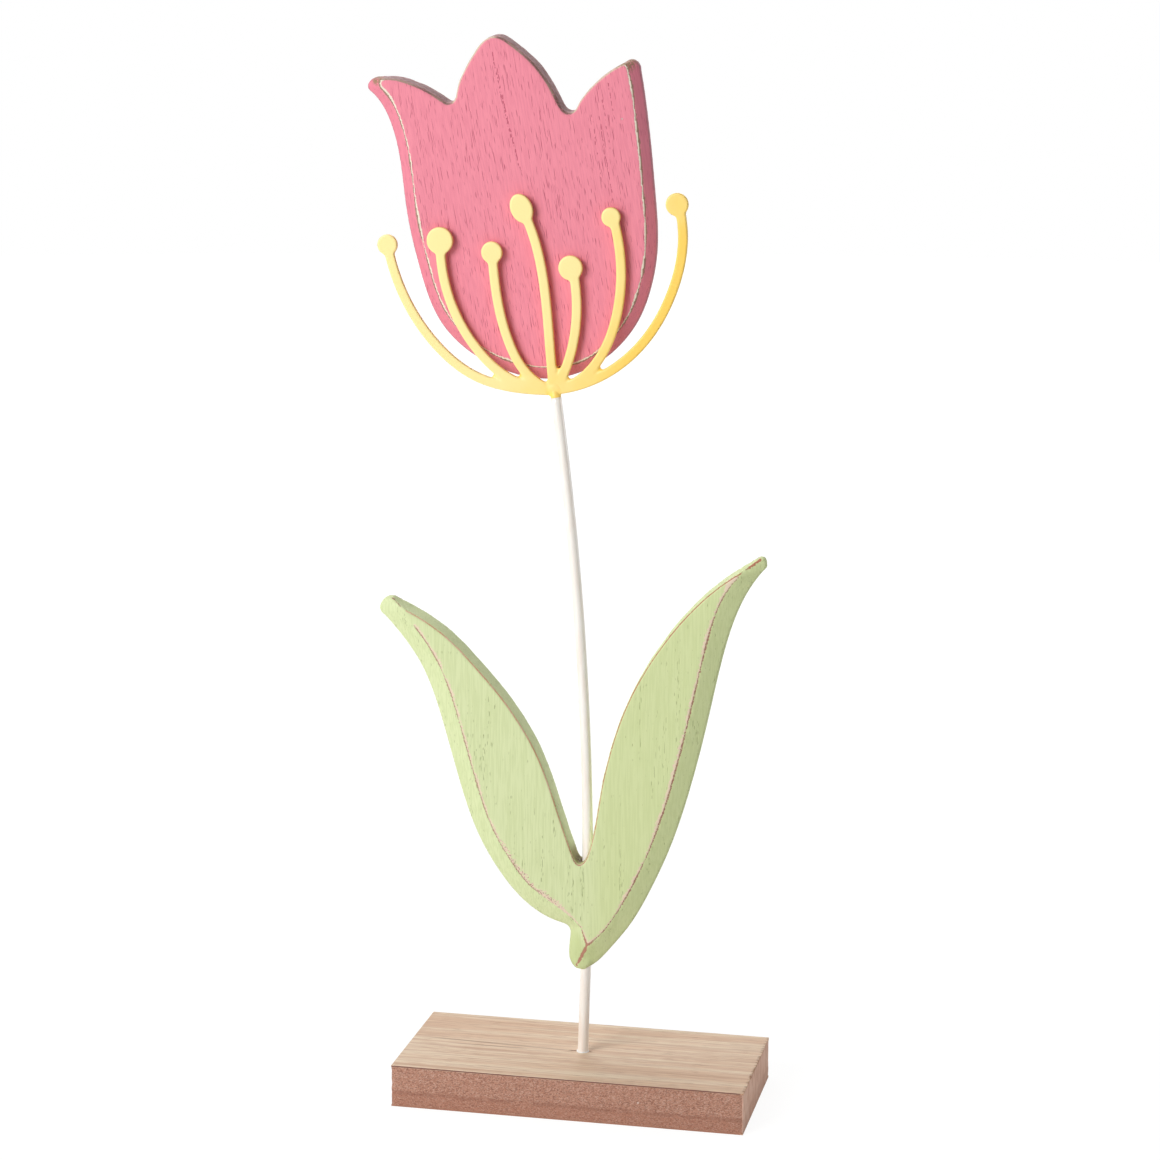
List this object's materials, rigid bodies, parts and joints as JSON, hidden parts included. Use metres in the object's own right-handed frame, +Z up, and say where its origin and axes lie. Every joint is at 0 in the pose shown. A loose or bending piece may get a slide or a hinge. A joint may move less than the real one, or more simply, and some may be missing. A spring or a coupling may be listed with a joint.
{
  "type": "wooden tulip ornament",
  "caption": "Free-standing wooden tulip: bevelled petals behind a coated metal spray of stamens, on a bowed wire stem with a V-shaped leaf plate and a veneered block base.",
  "frame": {"origin": "middle of the base block's underside", "axes": "+Z up, -Y the front with the stamens, +X to the right seen from the front"},
  "size_m": [0.1694, 0.07, 0.4442],
  "materials": {
    "base_fibreboard": "raw sawn pressed fibreboard",
    "base_veneer": "oiled open-grained veneer",
    "stem_paint": "cream satin paint",
    "foot_glue": "dried pale glue",
    "leaf_paint": "matt light green paint, worn on the edges",
    "stamen_coat": "smooth yellow powder coat",
    "flower_paint": "matt pink paint over open pores, worn on the edges",
    "stud_steel": "plain wire"
  },
  "bodies": {
    "root": {"base_core": "base_fibreboard", "base_top_veneer": "base_veneer", "base_bottom_veneer": "base_veneer", "stem": "stem_paint", "stem_foot_glue": "foot_glue", "leaf_pair": "leaf_paint", "stamens": "stamen_coat", "stem_weld": "stamen_coat", "flower_head": "flower_paint", "flower_studs": "stud_steel"}
  },
  "joints": []
}
